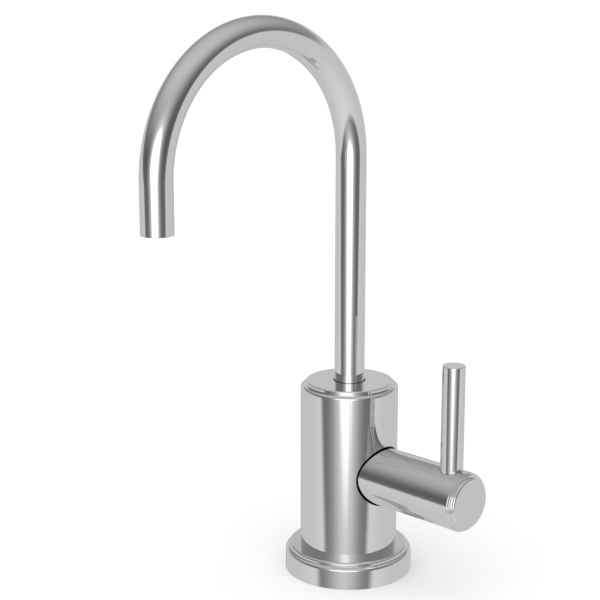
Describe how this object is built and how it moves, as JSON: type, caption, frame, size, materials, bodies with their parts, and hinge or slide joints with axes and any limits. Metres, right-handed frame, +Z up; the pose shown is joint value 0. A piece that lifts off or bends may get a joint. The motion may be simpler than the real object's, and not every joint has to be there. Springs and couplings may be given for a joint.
{
  "type": "cold water dispenser faucet",
  "caption": "Deck-mounted cold water dispenser faucet: round body on a flange, swivelling gooseneck spout and a side hub with an upright lever pin that opens a quarter-turn valve.",
  "frame": {"origin": "on the body's axis at the underside of the flange, where it stands on the deck", "axes": "+Z up along the body's axis, -Y towards the spout's outlet (the front), +X along the handle hub"},
  "size_m": [0.0936, 0.1372, 0.3044],
  "materials": {
    "polished_chrome": "polished chrome plate on brass",
    "turned_brass": "turned, unplated",
    "stainless_steel": "stamped or turned, bare",
    "black_rubber": "moulded, matt",
    "white_nylon": "moulded",
    "black_acetal": "moulded, low friction",
    "valve_ceramic": "lapped alumina"
  },
  "bodies": {
    "body": {"base_flange": "polished_chrome", "deck_seal": "black_rubber", "body_shell": "polished_chrome", "top_cap": "polished_chrome", "spout_bushing": "black_acetal", "thrust_washer": "white_nylon", "hub_bushing": "black_acetal", "cartridge_housing": "turned_brass", "cartridge_seal": "black_rubber", "seat_seal": "black_rubber", "fixed_disc": "valve_ceramic", "mounting_shank": "turned_brass", "deck_washer": "black_rubber", "backing_washer": "stainless_steel", "lock_washer": "stainless_steel", "mounting_nut": "turned_brass", "inlet_ferrule": "turned_brass", "inlet_nut": "turned_brass"},
    "spout": {"spout_tube": "polished_chrome", "spout_ferrule": "turned_brass", "spout_seal_lower": "black_rubber", "spout_seal_upper": "black_rubber", "outlet_straightener": "white_nylon"},
    "handle": {"moving_disc": "valve_ceramic", "valve_spindle": "turned_brass", "spindle_seal": "black_rubber", "spindle_clip": "stainless_steel", "handle_insert": "black_acetal", "handle_hub": "polished_chrome", "hub_end_cap": "polished_chrome", "lever_pin": "polished_chrome", "lever_set_screw": "stainless_steel", "hub_set_screw": "stainless_steel"}
  },
  "joints": [
    {"name": "spout_swivel", "type": "hinge", "parent": "body", "child": "spout", "pos_m": [0, 0, 0.0839], "axis": [0, 0, 1], "continuous": true},
    {"name": "handle_turn", "type": "hinge", "parent": "body", "child": "handle", "pos_m": [0.04, 0, 0.0458], "axis": [1, 0, 0], "range_deg": [0, 90]}
  ]
}
